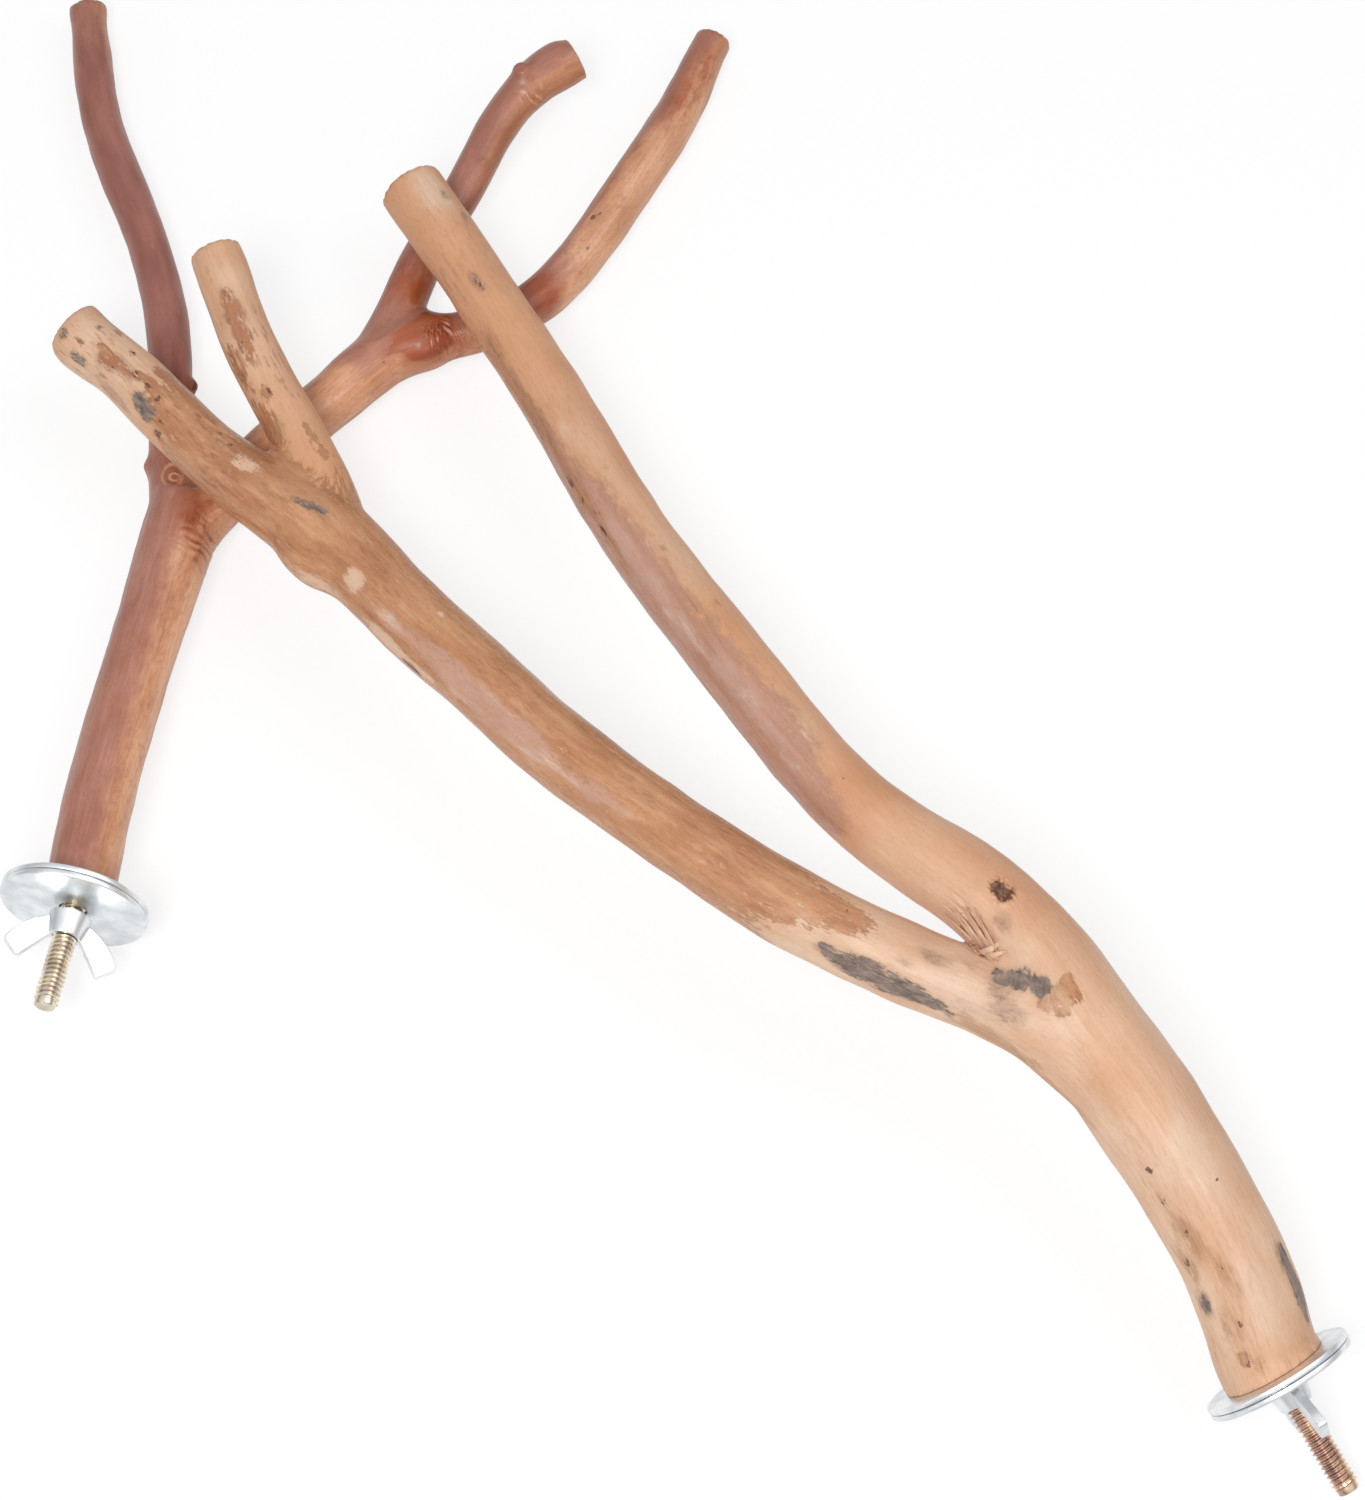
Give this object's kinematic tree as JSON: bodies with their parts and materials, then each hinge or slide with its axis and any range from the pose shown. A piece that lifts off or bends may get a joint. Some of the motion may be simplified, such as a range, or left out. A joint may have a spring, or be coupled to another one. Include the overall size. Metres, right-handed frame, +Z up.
{
  "type": "bird perch",
  "caption": "Natural forked-branch bird perches lying crossed; each has a threaded stud, wide clamp washers and a wing nut that grip cage bars.",
  "frame": {"origin": "centre of the set's footprint, on the surface it lies on", "axes": "+Z up, -Y the side that the threaded studs point to"},
  "size_m": [0.3376, 0.4328, 0.0599],
  "materials": {
    "pale_wood": "peeled and sanded",
    "red_wood": "bark polished smooth",
    "zinc_plate": "bright zinc",
    "yellow_zinc": "yellow chromate zinc"
  },
  "bodies": {
    "dark_perch": {"dark_branch": "red_wood", "dark_hanger_bolt": "yellow_zinc"},
    "light_perch": {"light_branch": "pale_wood", "light_hanger_bolt": "yellow_zinc"},
    "dark_inner_washer": {"dark_inner_washer": "zinc_plate"},
    "dark_outer_washer": {"dark_outer_washer": "zinc_plate"},
    "dark_wing_nut": {"dark_wing_nut": "zinc_plate"},
    "light_inner_washer": {"light_inner_washer": "zinc_plate"},
    "light_outer_washer": {"light_outer_washer": "zinc_plate"},
    "light_wing_nut": {"light_wing_nut": "zinc_plate"}
  },
  "joints": [
    {"name": "light_perch_lift", "type": "slide", "parent": "dark_perch", "child": "light_perch", "axis": [0, 0, 1], "range_m": [0, 0.12]},
    {"name": "dark_inner_washer_spin", "type": "hinge", "parent": "dark_perch", "child": "dark_inner_washer", "pos_m": [-0.14601, -0.06727, 0.01901], "axis": [-0.1815, -0.9795, 0.0872], "continuous": true},
    {"name": "dark_outer_washer_slide", "type": "slide", "parent": "dark_perch", "child": "dark_outer_washer", "axis": [-0.1815, -0.9795, 0.0872], "range_m": [0, 0.01652]},
    {"name": "dark_wing_nut_turn", "type": "hinge", "parent": "dark_outer_washer", "child": "dark_wing_nut", "pos_m": [-0.14737, -0.07456, 0.01966], "axis": [-0.1815, -0.9795, 0.0872], "range_deg": [0, 4680]},
    {"name": "light_inner_washer_spin", "type": "hinge", "parent": "light_perch", "child": "light_inner_washer", "pos_m": [0.14955, -0.1887, 0.01874], "axis": [0.515, -0.793, -0.3256], "continuous": true},
    {"name": "light_outer_washer_slide", "type": "slide", "parent": "light_perch", "child": "light_outer_washer", "axis": [0.515, -0.793, -0.3256], "range_m": [0, 0.0216]},
    {"name": "light_wing_nut_turn", "type": "hinge", "parent": "light_outer_washer", "child": "light_wing_nut", "pos_m": [0.15266, -0.1935, 0.01678], "axis": [0.515, -0.793, -0.3256], "range_deg": [0, 6120]}
  ],
  "couplings": [
    {"joint": "dark_outer_washer_slide", "follows": "dark_wing_nut_turn", "m_per_rad": 0.00020213},
    {"joint": "light_outer_washer_slide", "follows": "light_wing_nut_turn", "m_per_rad": 0.00020213}
  ]
}
